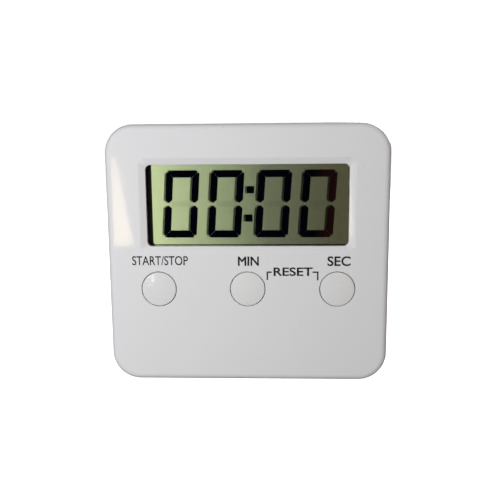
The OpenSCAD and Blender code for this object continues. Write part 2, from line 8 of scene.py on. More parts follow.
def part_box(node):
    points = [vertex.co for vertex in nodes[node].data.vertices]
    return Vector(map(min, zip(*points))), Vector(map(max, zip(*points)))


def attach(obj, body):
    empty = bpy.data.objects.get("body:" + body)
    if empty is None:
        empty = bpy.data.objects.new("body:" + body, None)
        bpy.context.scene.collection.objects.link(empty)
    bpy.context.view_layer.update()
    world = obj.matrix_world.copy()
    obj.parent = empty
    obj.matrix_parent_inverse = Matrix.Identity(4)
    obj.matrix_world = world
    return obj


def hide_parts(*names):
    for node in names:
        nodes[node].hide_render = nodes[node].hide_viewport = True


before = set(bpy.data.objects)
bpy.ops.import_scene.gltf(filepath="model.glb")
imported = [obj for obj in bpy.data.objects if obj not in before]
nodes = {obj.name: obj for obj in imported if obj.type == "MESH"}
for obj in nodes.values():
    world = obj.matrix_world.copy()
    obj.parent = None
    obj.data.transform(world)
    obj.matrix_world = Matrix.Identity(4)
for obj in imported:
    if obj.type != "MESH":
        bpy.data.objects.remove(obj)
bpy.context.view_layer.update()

# --------------------------------------------------------------------------------------------------
# Camera
# A hand-held close view from about 14 cm, a little above the middle of the face and to its right.

MM = 0.001
face_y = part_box("front_shell")[0].y
eye = Vector((6.35 * MM, face_y - 140.64 * MM, 53.48 * MM))
aim = Vector((0.6 * MM, face_y, 31.35 * MM))
camera_roll = math.radians(-0.448)

lens = bpy.data.cameras.new("camera")
lens.sensor_width = 36.0
lens.lens = 44.64
lens.clip_start = 0.005
camera = bpy.data.objects.new("camera", lens)
bpy.context.scene.collection.objects.link(camera)
camera.rotation_mode = "QUATERNION"
camera.rotation_quaternion = (aim - eye).to_track_quat("-Z", "Y") @ Quaternion((0, 0, 1), camera_roll)
camera.location = eye
bpy.context.scene.camera = camera
bpy.context.scene.view_settings.view_transform = "Standard"

# --------------------------------------------------------------------------------------------------
# Floor and studio light
# A matt white floor and backdrop, and a narrow window light close at the left. A warm lamp far to
# the right and a panel behind fill in. A black flag in front is what the polished parts mirror.


class Signal:
    """An output socket of a node tree, on which Python's operators add Math nodes."""

    def __init__(self, finish, socket):
        self.finish = finish
        self.socket = socket

    def __add__(self, other):
        return self.finish.math("ADD", self, other)

    def __radd__(self, other):
        return self.finish.math("ADD", other, self)

    def __sub__(self, other):
        return self.finish.math("SUBTRACT", self, other)

    def __rsub__(self, other):
        return self.finish.math("SUBTRACT", other, self)

    def __mul__(self, other):
        return self.finish.math("MULTIPLY", self, other)

    def __rmul__(self, other):
        return self.finish.math("MULTIPLY", other, self)

    def __gt__(self, other):
        return self.finish.math("GREATER_THAN", self, other)

    def __lt__(self, other):
        return self.finish.math("LESS_THAN", self, other)


class Finish:
    """A material: one Principled shader with fixed values, and the node patterns that vary over it."""

    def __init__(self, name, **fixed):
        self.material = bpy.data.materials.new(name)
        self.material.use_nodes = True
        self.tree = self.material.node_tree
        self.shader = self.tree.nodes["Principled BSDF"]
        self.output = self.tree.nodes["Material Output"]
        for socket, value in fixed.items():
            self.shader.inputs[socket.replace("_", " ")].default_value = value

    def node(self, kind, settings=None, inputs=None, output=0):
        made = self.tree.nodes.new("ShaderNode" + kind)
        for key, value in (settings or {}).items():
            if key == "stops":
                ramp = made.color_ramp.elements
                while len(ramp) < len(value):
                    ramp.new(1.0)
                for stop, (position, colour) in zip(ramp, value):
                    stop.position = position
                    stop.color = colour
            else:
                setattr(made, key, value)
        for key, value in (inputs or {}).items():
            self.plug(value, made.inputs[key])
        return Signal(self, made.outputs[output])

    def plug(self, value, socket):
        if isinstance(value, Signal):
            self.tree.links.new(value.socket, socket)
        else:
            socket.default_value = value

    def math(self, operation, *values):
        return self.node("Math", {"operation": operation}, dict(enumerate(values)))

    def place(self):
        return self.node("TexCoord", None, None, "Object")

    def along(self, axis):
        return self.node("SeparateXYZ", None, {0: self.place()}, axis)

    def noise(self, size, detail=3.0, stretch=(1, 1, 1)):
        at = self.node("Mapping", None, {"Vector": self.place(), "Scale": stretch})
        return self.node("TexNoise", None, {"Vector": at, "Scale": 1 / size, "Detail": detail})

    def mix(self, share, first, second):
        return self.node("Mix", {"data_type": "RGBA"}, {0: share, 6: first, 7: second}, 2)

    def fade(self, value, start, end):
        """0 where value is at start and 1 where it is at end, and a smooth rise between them."""
        settings = {"interpolation_type": "SMOOTHSTEP"}
        return self.node("MapRange", settings, {"Value": value, "From Min": start, "From Max": end})

    def set(self, **values):
        for socket, value in values.items():
            self.plug(value, self.shader.inputs[socket.replace("_", " ")])
        return self

    def bump(self, height, depth):
        inputs = {"Height": height, "Distance": depth, "Strength": 1.0}
        return self.set(Normal=self.node("Bump", None, inputs))

    def onto(self, piece):
        piece.data.materials.clear()
        piece.data.materials.append(self.material)
        return piece


def deselect():
    for thing in bpy.context.selected_objects:
        thing.select_set(False)


def added(name):
    """Names the primitive that was just added and applies its place, so its object sits at the origin."""
    piece = bpy.context.active_object
    piece.name = name
    piece.data.name = name
    bpy.ops.object.transform_apply(location=True, rotation=True, scale=True)
    return piece


floor_r = 3.0
dome_r = 4.0
flag_size = 2.4
flag_at = (0, -1.1, 0.6)
deselect()
bpy.ops.mesh.primitive_circle_add(vertices=64, radius=floor_r, fill_type="NGON", location=(0, 0, 0))
floor = added("floor")
white_floor = Finish("white_floor", Roughness=0.9, Specular_IOR_Level=0.1, Emission_Strength=1.0)
mottle = white_floor.noise(0.3)
white_floor.set(Base_Color=white_floor.mix(mottle, (0.88, 0.88, 0.88, 1), (0.92, 0.92, 0.92, 1)))
white_floor.set(Emission_Color=white_floor.mix(mottle, (1.0, 1.0, 1.0, 1), (1.05, 1.05, 1.05, 1)))
white_floor.onto(floor)
floor.visible_diffuse = False
floor.visible_glossy = False

deselect()
bpy.ops.mesh.primitive_uv_sphere_add(segments=48, ring_count=24, radius=dome_r, location=(0, 0, 0))
backdrop = added("backdrop")
bpy.ops.object.shade_smooth()
white_drop = Finish("white_drop", Roughness=1.0, Emission_Strength=1.0)
haze = white_drop.noise(2.0)
white_drop.set(Emission_Color=white_drop.mix(haze, (0.98, 0.98, 0.98, 1), (1.0, 1.0, 1.0, 1)))
white_drop.onto(backdrop)
for ray in ("visible_diffuse", "visible_glossy", "visible_shadow"):
    setattr(backdrop, ray, False)

# A black flag in front keeps the window and the polished face free of reflections from the room
deselect()
bpy.ops.mesh.primitive_plane_add(size=flag_size, location=flag_at, rotation=(math.pi / 2, 0, 0))
flag = added("black_flag")
flag_black = Finish("flag_black", Roughness=1.0, Specular_IOR_Level=0.0)
nap = flag_black.noise(0.02)
flag_black.set(Base_Color=flag_black.mix(nap, (0.002, 0.002, 0.002, 1), (0.004, 0.004, 0.004, 1)))
flag_black.onto(flag)
for ray in ("visible_camera", "visible_diffuse", "visible_shadow"):
    setattr(flag, ray, False)


def panel(name, at, towards, size, power, colour=(1, 1, 1)):
    """A soft rectangular light that the camera doesn't see."""
    data = bpy.data.lights.new(name, "AREA")
    data.shape = "RECTANGLE"
    data.size, data.size_y = size
    data.energy = power
    data.color = colour
    light = bpy.data.objects.new(name, data)
    bpy.context.scene.collection.objects.link(light)
    light.location = at
    light.rotation_mode = "QUATERNION"
    light.rotation_quaternion = (Vector(towards) - Vector(at)).to_track_quat("-Z", "Y")
    light.visible_camera = False
    return light


cool_white = (0.98, 0.99, 1.0)
warm_white = (1.0, 0.87, 0.74)
left_window = panel("left_window", (-0.108, -0.207, 0.06), (0, 0, 0.035), (0.035, 0.16), 0.49, cool_white)
right_lamp = panel("right_lamp", (0.80, -0.85, 0.22), (0, 0, 0.03), (0.10, 0.10), 3.0, warm_white)
for lamp in (left_window, right_lamp):
    lamp.visible_glossy = False
panel("back_panel", (0.30, 0.50, 0.35), (0, 0, 0.03), (0.40, 0.40), 3.0, (1.0, 0.99, 0.97))

world = bpy.data.worlds.new("studio")
world.use_nodes = True
bpy.context.scene.world = world
sky = world.node_tree.nodes["Background"].inputs
sky["Color"].default_value = (0.88, 0.94, 1.0, 1)
sky["Strength"].default_value = 0.10

# --------------------------------------------------------------------------------------------------
# Front shell
# Injection-moulded white ABS tray, polished in the tool. A shallow sloped frame leads down to the
# window, and three round holes let the buttons through. Its rim meets the back shell at the seam.

shell_low, shell_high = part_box("front_shell")
corner_r = 6.6 * MM
rim_r = 1.6 * MM
wall = 1.6 * MM
soft_edge = 0.12 * MM
window_low, window_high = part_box("window_lens")
lens_flange = 1.4 * MM
window_gap = 0.08 * MM
opening_x = window_high.x - lens_flange
opening_low = window_low.z + lens_flange
opening_high = window_high.z - lens_flange
opening_r = 1.15 * MM
recess_y = window_low.y
frame_w = 1.5 * MM
button_names = ("start_button", "minute_button", "second_button")
cap_r = 7.95 / 2 * MM
button_gap = 0.16 * MM
merge_distance = 0.0005 * MM
smooth_below = math.radians(40)


def pick(piece, kind, test):
    """Selects the faces or edges of a piece that pass the test, and leaves the piece in edit mode."""
    bpy.context.view_layer.objects.active = piece
    bpy.ops.object.mode_set(mode="EDIT")
    bpy.ops.mesh.select_mode(type=kind.upper()[:-1])
    bpy.ops.mesh.select_all(action="DESELECT")
    mesh = bmesh.from_edit_mesh(piece.data)
    for item in getattr(mesh, kind):
        if test(item):
            item.select_set(True)
    mesh.select_flush_mode()
    bmesh.update_edit_mesh(piece.data)


def leave():
    bpy.ops.object.mode_set(mode="OBJECT")


def block(name, low, high):
    """A box between two corners, to be shaped further."""
    deselect()
    low, high = Vector(low), Vector(high)
    bpy.ops.mesh.primitive_cube_add(size=1, location=(low + high) / 2, scale=high - low)
    return added(name)


def drum(name, middle, radius, front_y, back_y, vertices=96):
    """A round bar along the depth, from front_y to back_y."""
    deselect()
    at = (middle[0], (front_y + back_y) / 2, middle[1])
    bpy.ops.mesh.primitive_cylinder_add(
        vertices=vertices, radius=radius, depth=back_y - front_y, location=at, rotation=(math.pi / 2, 0, 0)
    )
    return added(name)


def on_level(item, y):
    return all(abs(v.co.y - y) < 0.01 * MM for v in item.verts)


def along_depth(edge):
    a, b = edge.verts[0].co, edge.verts[1].co
    return abs(a.x - b.x) + abs(a.z - b.z) < 0.001 * MM


def round_corners(piece, radius, segments):
    pick(piece, "edges", along_depth)
    bpy.ops.mesh.bevel(offset=radius, segments=segments, affect="EDGES")
    leave()


def round_rim(piece, y, radius, segments):
    pick(piece, "edges", lambda e: on_level(e, y))
    bpy.ops.mesh.bevel(offset=radius, segments=segments, affect="EDGES")
    leave()


def combine(piece, tool, operation="DIFFERENCE"):
    """Cuts the tool out of the piece, or welds it on, and throws the tool away."""
    change = piece.modifiers.new("change", "BOOLEAN")
    change.operation = operation
    change.object = tool
    change.solver = "EXACT"
    deselect()
    bpy.context.view_layer.objects.active = piece
    bpy.ops.object.modifier_apply(modifier=change.name)
    bpy.data.objects.remove(tool, do_unlink=True)
    return piece


def finish_edges(piece, width, angle=18.0, segments=3, where=lambda edge: True):
    """Rounds the sharp edges that pass the test, as a mould does, and evens the shading between them."""
    pick(piece, "faces", lambda f: True)
    bpy.ops.mesh.remove_doubles(threshold=merge_distance)
    bpy.ops.mesh.dissolve_degenerate(threshold=merge_distance)
    leave()
    mesh = bmesh.new()
    mesh.from_mesh(piece.data)
    weight = mesh.edges.layers.float.new("bevel_weight_edge")
    for edge in mesh.edges:
        if len(edge.link_faces) == 2 and edge.calc_face_angle() > math.radians(angle) and where(edge):
            edge[weight] = 1.0
    mesh.to_mesh(piece.data)
    mesh.free()
    round_off = piece.modifiers.new("round_off", "BEVEL")
    round_off.width = width
    round_off.segments = segments
    round_off.limit_method = "WEIGHT"
    round_off.use_clamp_overlap = False
    even = piece.modifiers.new("even", "WEIGHTED_NORMAL")
    even.keep_sharp = True
    deselect()
    bpy.context.view_layer.objects.active = piece
    piece.select_set(True)
    bpy.ops.object.modifier_apply(modifier=round_off.name)
    bpy.ops.object.shade_smooth_by_angle(angle=smooth_below)
    bpy.ops.object.modifier_apply(modifier=even.name)
    return piece


def widened_cut(name, low, high, radius, floor_y, front_y, grow):
    """A cutter for an opening whose frame widens from floor_y out to the face at front_y and beyond."""
    reach = 1.25
    tool = block(name, low, high)
    round_corners(tool, radius, 8)
    pick(tool, "faces", lambda f: on_level(f, floor_y))
    depth = (front_y - floor_y) * reach
    w, h = high[0] - low[0], high[2] - low[2]
    middle = ((low[0] + high[0]) / 2, floor_y, (low[2] + high[2]) / 2)
    bpy.ops.mesh.extrude_region_move(TRANSFORM_OT_translate={"value": (0, depth, 0)})
    scale = ((w + 2 * grow * reach) / w, 1, (h + 2 * grow * reach) / h)
    bpy.ops.transform.resize(value=scale, center_override=middle)
    leave()
    return tool


def inner_block(name, inset, front_y, back_y):
    """A block with the outline of the case, drawn in by inset."""
    tool = block(
        name, (shell_low.x + inset, front_y, shell_low.z + inset),
        (shell_high.x - inset, back_y, shell_high.z - inset),
    )
    round_corners(tool, corner_r - inset, 20)
    return tool


seam_y = shell_high.y
inner_face_y = shell_low.y + wall
tongue_l = 0.9 * MM
tongue_inset = 0.8 * MM
fit = 0.08 * MM
beyond = 1.0 * MM
front = block("case_front", shell_low, shell_high)
round_corners(front, corner_r, 20)
round_rim(front, shell_low.y, rim_r, 8)
combine(front, inner_block("hollow", wall, inner_face_y, seam_y + beyond))
combine(front, inner_block("tongue_seat", tongue_inset, seam_y - tongue_l - fit, seam_y + beyond))
screw_low, screw_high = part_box("case_screws")
screw_head_r = 1.7 * MM
post_r = 2.2 * MM
pilot_r = 0.95 * MM
screw_places = [
    (x, z) for x in (screw_low.x + screw_head_r, screw_high.x - screw_head_r)
    for z in (screw_low.z + screw_head_r, screw_high.z - screw_head_r)
]
for place in screw_places:
    post = drum("post", place, post_r, inner_face_y - wall / 2, seam_y - tongue_l - fit, 32)
    combine(front, post, "UNION")
    combine(front, drum("pilot", place, pilot_r, screw_low.y - 0.3 * MM, seam_y + beyond, 24))
combine(front, widened_cut(
    "window_cut", (-opening_x, recess_y, opening_low), (opening_x, shell_high.y, opening_high),
    opening_r, recess_y, shell_low.y, frame_w,
))
for name in button_names:
    low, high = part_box(name)
    middle = ((low.x + high.x) / 2, (low.z + high.z) / 2)
    combine(front, drum("hole_cut", middle, cap_r + button_gap, shell_low.y - beyond, inner_face_y + beyond))
finish_edges(
    front, soft_edge,
    where=lambda e: on_level(e, seam_y) or all(v.co.y < recess_y + 0.05 * MM for v in e.verts),
)

# A pale card at the left, which the polished face mirrors as a slim wedge of cream light
card_distance = 100 * MM
wedge = ((-57.2, 52.0), (-55.4, 52.0), (-49.4, 17.8), (-58.6, 17.2))
deselect()
bpy.ops.mesh.primitive_plane_add(size=1)
card = bpy.context.active_object
for vertex, (x, z) in zip((card.data.vertices[i] for i in (0, 1, 3, 2)), wedge):
    vertex.co = (x * MM, shell_low.y - card_distance, z * MM)
added("cream_card")
cream = Finish("cream_card", Roughness=1.0, Emission_Strength=4.6)
cream_haze = cream.noise(20 * MM)
cream.set(Emission_Color=cream.mix(cream_haze, (1.0, 0.78, 0.46, 1), (1.0, 0.82, 0.50, 1)))
cream.onto(card)
for ray in ("visible_camera", "visible_diffuse", "visible_shadow"):
    setattr(card, ray, False)


def gloss_white(name, tone, roughness):
    """White moulded plastic: polish haze, faint orange peel, tiny specks and a slight tint that drifts."""
    white = Finish(name, Specular_IOR_Level=0.5, IOR=1.5, Coat_Roughness=0.04)
    drift = white.noise(18 * MM, 2.0)
    smear = white.noise(7 * MM, 4.0, (1.0, 1.0, 0.35))
    speck = white.noise(0.55 * MM, 1.0) > 0.765
    cool = tuple(0.97 * c for c in tone[:2]) + (tone[2] * 0.985, 1)
    base = white.mix(drift, tone + (1,), cool)
    white.set(Base_Color=white.mix(speck * 0.35, base, (0.35, 0.34, 0.33, 1)))
    white.set(Roughness=roughness + 0.05 * smear + 0.1 * speck, Coat_Weight=0.35 - 0.15 * smear)
    return white.bump(white.noise(2.2 * MM, 2.0), 0.012 * MM)


gloss_white("front_white", (0.75, 0.75, 0.76), 0.06).onto(front)
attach(front, "case")
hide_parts("front_shell")

# --------------------------------------------------------------------------------------------------
# Legends
# Black print on the face, a few hundredths of a millimetre thick: the use of each button, and a
# bracket that joins the two buttons pressed together to reset.

print_t = 0.03 * MM
ink = Finish("legend_ink", Specular_IOR_Level=0.2)
ink_cloud = ink.noise(0.4 * MM, 2.0)
ink.set(Base_Color=ink.mix(ink_cloud, (0.012, 0.012, 0.014, 1), (0.03, 0.03, 0.034, 1)))
ink.set(Roughness=0.35 + 0.2 * ink_cloud)
middle_z = (shell_low.z + shell_high.z) / 2


def legend(name, words, left, right, top, bottom, weight):
    """Sets words between four limits, in millimetres from the middle of the face, bolder by weight."""
    deselect()
    bpy.ops.object.text_add(location=(0, 0, 0))
    piece = bpy.context.active_object
    piece.data.body = words
    piece.data.extrude = 0.5
    piece.data.bevel_depth = weight
    piece.data.bevel_resolution = 1
    bpy.ops.object.convert(target="MESH")
    corners = [v.co for v in piece.data.vertices]
    low = [min(c[k] for c in corners) for k in range(3)]
    high = [max(c[k] for c in corners) for k in range(3)]
    across = (right - left) * MM / (high[0] - low[0])
    up = (top - bottom) * MM / (high[1] - low[1])
    for v in piece.data.vertices:
        x = left * MM + (v.co.x - low[0]) * across
        z = middle_z + bottom * MM + (v.co.y - low[1]) * up
        y = shell_low.y - print_t * (v.co.z - low[2]) + 0.1 * print_t
        v.co = (x, y, z)
    added(name)
    ink.onto(piece)
    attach(piece, "case")


legend("legend_start_stop", "START/STOP", -26.8, -13.8, -0.04, -2.2, 0.008)
legend("legend_minute", "MIN", -2.22, 2.62, -0.18, -2.34, 0.022)
legend("legend_second", "SEC", 18.35, 23.64, -0.14, -2.42, 0.018)
legend("legend_reset", "RESET", 6.0, 14.98, -2.72, -4.74, 0.018)


def bracket(name, outer, inner, top, bottom, line):
    """A short bar beside the word, turned down towards its button at the outer end."""
    left, right = sorted((outer, inner))
    side = 1 if outer > inner else -1
    bar = block(
        name, (left * MM, shell_low.y - print_t, middle_z + (top - line) * MM),
        (right * MM, shell_low.y + 0.1 * print_t, middle_z + top * MM),
    )
    turn_x = (outer - side * line) * MM
    pick(bar, "faces", lambda f: True)
    bpy.ops.mesh.bisect(plane_co=(turn_x, 0, 0), plane_no=(1, 0, 0))
    leave()
    pick(bar, "faces", lambda f: f.normal.z < -0.9 and (f.calc_center_median().x - turn_x) * side > 0)
    drop = (bottom - top + line) * MM
    bpy.ops.mesh.extrude_region_move(TRANSFORM_OT_translate={"value": (0, 0, drop)})
    leave()
    ink.onto(bar)
    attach(bar, "case")


bracket("bracket_left", 4.4, 5.6, -3.68, -5.68, 0.32)
bracket("bracket_right", 16.32, 15.0, -3.68, -5.75, 0.32)

# --------------------------------------------------------------------------------------------------
# Window lens
# Clear acrylic with a raised middle that fills the opening, and a flange glued behind the wall.

glue_t = 0.03 * MM
flange_t = 0.6 * MM
lens_back_y = window_high.y - glue_t
flange_y = lens_back_y - flange_t
pane = block(
    "window_pane", (-opening_x + window_gap, recess_y, opening_low + window_gap),
    (opening_x - window_gap, flange_y, opening_high - window_gap),
)
round_corners(pane, opening_r - window_gap, 8)
pick(pane, "faces", lambda f: on_level(f, flange_y))
pane_w = 2 * (opening_x - window_gap)
pane_h = opening_high - opening_low - 2 * window_gap
flange_scale = ((window_high.x - window_low.x) / pane_w, 1, (window_high.z - window_low.z) / pane_h)
pane_middle = (0, flange_y, (opening_low + opening_high) / 2)
bpy.ops.mesh.extrude_region_move(TRANSFORM_OT_translate={"value": (0, 0, 0)})
bpy.ops.transform.resize(value=flange_scale, center_override=pane_middle)
bpy.ops.mesh.extrude_region_move(TRANSFORM_OT_translate={"value": (0, lens_back_y - flange_y, 0)})
leave()
finish_edges(pane, 0.1 * MM, 30.0, 2)


def clear(name, tint, roughness, mirror):
    """A clear sheet: light passes straight through, and a share of it is mirrored, more at a slant."""
    sheet = Finish(name)
    smear = sheet.noise(6 * MM, 3.0)
    through = sheet.node("BsdfTransparent", None, {"Color": tint})
    shine = sheet.node("BsdfGlossy", None, {"Color": (1, 1, 1, 1), "Roughness": roughness})
    fresnel = sheet.node("Fresnel", None, {"IOR": 1.49})
    share = fresnel * mirror * (0.9 + 0.2 * smear)
    amount = sheet.node("MixShader", None, {0: share, 1: through, 2: shine})
    sheet.tree.links.new(amount.socket, sheet.output.inputs["Surface"])
    return sheet


clear("clear_acrylic", (0.985, 0.99, 0.985, 1), 0.03, 0.8).onto(pane)
pane.visible_shadow = False
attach(pane, "case")
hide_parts("window_lens")

# --------------------------------------------------------------------------------------------------
# Display
# A black frame holds two sheets of glass with the liquid crystal between them. A polarising film
# lies on the front, and a grey-green reflecting film behind gives the ground the digits stand on.

bezel_black = Finish("bezel_black", Specular_IOR_Level=0.35)
bezel_grain = bezel_black.noise(0.3 * MM, 2.0)
bezel_tone = bezel_black.mix(bezel_grain, (0.006, 0.006, 0.007, 1), (0.016, 0.016, 0.017, 1))
bezel_black.set(Base_Color=bezel_tone, Roughness=0.55 + 0.2 * bezel_grain).bump(bezel_grain, 0.01 * MM)
bezel_black.onto(nodes["lcd_bezel"])

polarising_film = clear("polarising_film", (0.95, 0.96, 0.92, 1), 0.12, 0.08)
sheet_glass = clear("sheet_glass", (0.99, 1.0, 0.99, 1), 0.05, 0.02)
for name, finish in (
    ("lcd_polariser", polarising_film), ("lcd_front_glass", sheet_glass), ("lcd_rear_glass", sheet_glass)
):
    finish.onto(nodes[name])
    nodes[name].visible_shadow = False
nodes["lcd_rear_glass"].visible_camera = False

digits = Finish("digit_black", Specular_IOR_Level=0.05)
digit_cloud = digits.noise(3 * MM, 2.0)
digit_ink = digits.mix(digit_cloud, (0.0005, 0.0006, 0.003, 1), (0.001, 0.0015, 0.005, 1))
# painted reflection: the digits turn a little reddish-brown towards the right end
painted_reflection_right = digits.fade(digits.along(0), 15 * MM, 18.5 * MM)
digits.set(Base_Color=digits.mix(0.6 * painted_reflection_right, digit_ink, (0.022, 0.006, 0.005, 1)))
digits.set(Roughness=0.5 + 0.1 * digit_cloud)
digits.onto(nodes["lcd_segments"])

# Painted light and shade: the film's colour runs from bright green at the left, standing in for the window
# light it sends back, to dull brown at the right, standing in for shade and a brownish reflection
display = nodes["lcd_reflector"]
film_half = 24 * MM
digits_low, digits_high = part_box("lcd_segments")
digits_x = (digits_low.x + digits_high.x) / 2
digits_z = (digits_low.z + digits_high.z) / 2
reflector = Finish("reflector_green", Specular_IOR_Level=0.1)
across_x = reflector.along(0)
# painted light and shade in the film's colour, brightest at the left and darkest at the right
painted_light_grade = reflector.node("ValToRGB", {"stops": [
    (0.05, (0.60, 0.675, 0.385, 1)), (0.17, (0.45, 0.505, 0.30, 1)), (0.375, (0.27, 0.31, 0.182, 1)),
    (0.60, (0.116, 0.128, 0.078, 1)), (0.81, (0.069, 0.068, 0.037, 1)), (0.94, (0.050, 0.044, 0.019, 1)),
]}, {0: (across_x + film_half) * (1 / (2 * film_half))})
film_grain = reflector.noise(0.25 * MM, 2.0, (1.0, 1.0, 0.15))
ground = reflector.mix(0.05 * film_grain, painted_light_grade, (0.75, 0.8, 0.6, 1))

# The middle bar of each digit is off, and shows only as a faint darker patch
from_middle = reflector.math("ABSOLUTE", reflector.along(2) - digits_z)
off_bars = 0.0
digit_middles = (-15.95 * MM, -5.52 * MM, 5.52 * MM, 15.95 * MM)
for digit_x in digit_middles:
    beside = reflector.math("ABSOLUTE", across_x - (digits_x + digit_x))
    off_bars = reflector.fade(beside, 2.5 * MM, 2.2 * MM) + off_bars
off_bars = off_bars * reflector.fade(from_middle, 0.8 * MM, 0.6 * MM)
reflector.set(Base_Color=reflector.mix(0.13 * off_bars, ground, (0.02, 0.03, 0.03, 1)))
reflector.set(Roughness=0.5 + 0.1 * film_grain)
reflector.onto(display)

# A lamp from the right lights the display alone, so that its digits shade the film to their left
display_lamp = panel("display_lamp", (0.37, -0.47, 0.05), (0, 0, 0.042), (0.07, 0.07), 4.3)
display_fill = panel("display_fill", (0, -0.47, 0.05), (0, 0, 0.042), (0.20, 0.20), 0.5)
display_only = bpy.data.collections.new("display_only")
display_only.objects.link(display)
shade_makers = bpy.data.collections.new("shade_makers")
shade_makers.objects.link(nodes["lcd_segments"])
for lamp in (display_lamp, display_fill):
    lamp.light_linking.receiver_collection = display_only
    lamp.light_linking.blocker_collection = shade_makers
all_but_display = bpy.data.collections.new("all_but_display")
all_but_display.objects.link(display)
all_but_display.collection_objects[0].light_linking.link_state = "EXCLUDE"
for lamp in (left_window, right_lamp):
    lamp.light_linking.receiver_collection = all_but_display

# --------------------------------------------------------------------------------------------------
# Buttons
# Three glossy white caps, slightly domed, each with a flange behind the wall that keeps it in and a
# stem that presses on the dome of the key membrane.

dome_steps = 6
rim_round = 0.2 * MM
skirt_t = 0.8 * MM
stem_r = 2.0 * MM
button_white = gloss_white("button_white", (0.735, 0.735, 0.735), 0.08)


def button_piece(name):
    low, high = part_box(name)
    middle = Vector(((low.x + high.x) / 2, 0, (low.z + high.z) / 2))
    flange_r = (high.x - low.x) / 2
    flange_front_y = shell_low.y + wall + 0.1 * MM
    rise = (shell_low.y - low.y) * 0.75
    rim_y = low.y + rise
    piece = drum(name + "_cap", (middle.x, middle.z), cap_r, rim_y, flange_front_y)
    round_rim(piece, rim_y, rim_round, 4)
    pick(piece, "faces", lambda f: on_level(f, rim_y))
    flat_r = cap_r - rim_round
    for step in range(dome_steps):
        outer = flat_r * (1 - step / dome_steps)
        inner = flat_r * (1 - (step + 0.92) / dome_steps)
        climb = rise * (outer ** 2 - inner ** 2) / flat_r ** 2
        bpy.ops.mesh.inset(thickness=(outer - inner))
        bpy.ops.transform.translate(value=(0, -climb, 0))
    leave()
    pick(piece, "faces", lambda f: on_level(f, flange_front_y))
    bpy.ops.mesh.extrude_region_move(TRANSFORM_OT_translate={"value": (0, 0, 0)})
    bpy.ops.transform.resize(value=(flange_r / cap_r, 1, flange_r / cap_r), center_override=middle)
    bpy.ops.mesh.extrude_region_move(TRANSFORM_OT_translate={"value": (0, skirt_t, 0)})
    bpy.ops.mesh.extrude_region_move(TRANSFORM_OT_translate={"value": (0, 0, 0)})
    stem_scale = stem_r / flange_r
    bpy.ops.transform.resize(value=(stem_scale, 1, stem_scale), center_override=middle)
    stem_l = high.y - flange_front_y - skirt_t
    bpy.ops.mesh.extrude_region_move(TRANSFORM_OT_translate={"value": (0, stem_l, 0)})
    leave()
    finish_edges(piece, 0.08 * MM, 40.0, 2)
    button_white.onto(piece)
    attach(piece, name)
    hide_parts(name)


for name in button_names:
    button_piece(name)

# --------------------------------------------------------------------------------------------------
# Back shell
# The other half of the moulded case, with a finer satin texture than the face. It holds the battery
# pocket, the stand's recess, two magnet seats, the sound holes and the wells of the four case screws.

back_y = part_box("back_shell")[1].y
inner_back_y = back_y - wall
cover_low, cover_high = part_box("battery_cover")
cover_middle = (0, (cover_low.z + cover_high.z) / 2)
cover_r = (cover_high.x - cover_low.x) / 2
cover_t = 1.2 * MM
cover_gap = 0.15 * MM
cell_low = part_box("button_cell")[0]
cell_room_r = 6.1 * MM
ledge_r = 7.3 * MM
ledge_front_y = back_y - cover_t - 1.0 * MM
groove_front_y = ledge_front_y - 1.2 * MM
lug_w = 3.6 * MM
lug_r = 8.3 * MM
twist = math.radians(40)
stand_low, stand_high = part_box("stand")
leaf_half = 12 * MM
gap = 0.2 * MM
hinge_z = stand_high.z - 1.4 * MM
hinge_y = back_y - 1.5 * MM
recess_floor_y = back_y - 2.1 * MM
barrel_floor_y = back_y - 3.1 * MM
barrel_room = 1.6 * MM
web = 1.2 * MM
notch_r = 5 * MM
magnet_low, magnet_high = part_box("magnet_right")
magnet_place = ((magnet_low.x + magnet_high.x) / 2, (magnet_low.z + magnet_high.z) / 2)
magnet_r = (magnet_high.x - magnet_low.x) / 2
sounder_low, sounder_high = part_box("piezo_disc")
sounder_place = ((sounder_low.x + sounder_high.x) / 2, (sounder_low.z + sounder_high.z) / 2)
sound_hole_r = 0.6 * MM
sound_ring_r = 3 * MM
sound_hole_n = 6
sounder_room_r = 6.5 * MM
sounder_ring_r = 8 * MM
sleeve_r = 2.5 * MM
screw_hole_r = 1.05 * MM
pin_hole_r = 1.05 * MM
pin_room = 1.6 * MM
groove_gap = 0.25 * MM
seat_y = back_y - 1.9 * MM
outside_y = back_y + beyond

back = block("case_back", (shell_low.x, seam_y, shell_low.z), (shell_high.x, back_y, shell_high.z))
round_corners(back, corner_r, 20)
round_rim(back, back_y, rim_r, 8)
combine(back, inner_block("tongue", tongue_inset + fit, seam_y - tongue_l, seam_y + beyond), "UNION")
combine(back, inner_block("hollow", wall, seam_y - 2 * tongue_l, inner_back_y))

# The walls of the pockets, which stand on the inside of the back
magnet_places = [(side * magnet_place[0], magnet_place[1]) for side in (-1, 1)]
pocket_walls = [
    drum("cell_wall", cover_middle, cover_r + 1.7 * MM, cell_low.y - 0.8 * MM, back_y - wall / 2),
    block(
        "stand_wall", (-leaf_half - gap - web, recess_floor_y - web, stand_low.z - web),
        (leaf_half + gap + web, back_y - wall / 2, hinge_z + barrel_room + web),
    ),
    block(
        "hinge_wall", (-leaf_half - gap - 2 * web, barrel_floor_y - web, hinge_z - barrel_room - web),
        (leaf_half + gap + 2 * web, back_y - wall / 2, hinge_z + barrel_room + web),
    ),
    drum("notch_wall", (0, stand_low.z), notch_r + web, recess_floor_y - web, back_y - wall / 2),
    drum("sounder_ring", sounder_place, sounder_ring_r, sounder_high.y, back_y - wall / 2),
]
for place in magnet_places:
    pocket_walls.append(drum("magnet_wall", place, magnet_r + web, magnet_low.y - web, back_y - wall / 2))
for place in screw_places:
    pocket_walls.append(drum("sleeve", place, sleeve_r, seam_y - tongue_l, back_y - wall / 2, 48))
for tool in pocket_walls:
    combine(back, tool, "UNION")


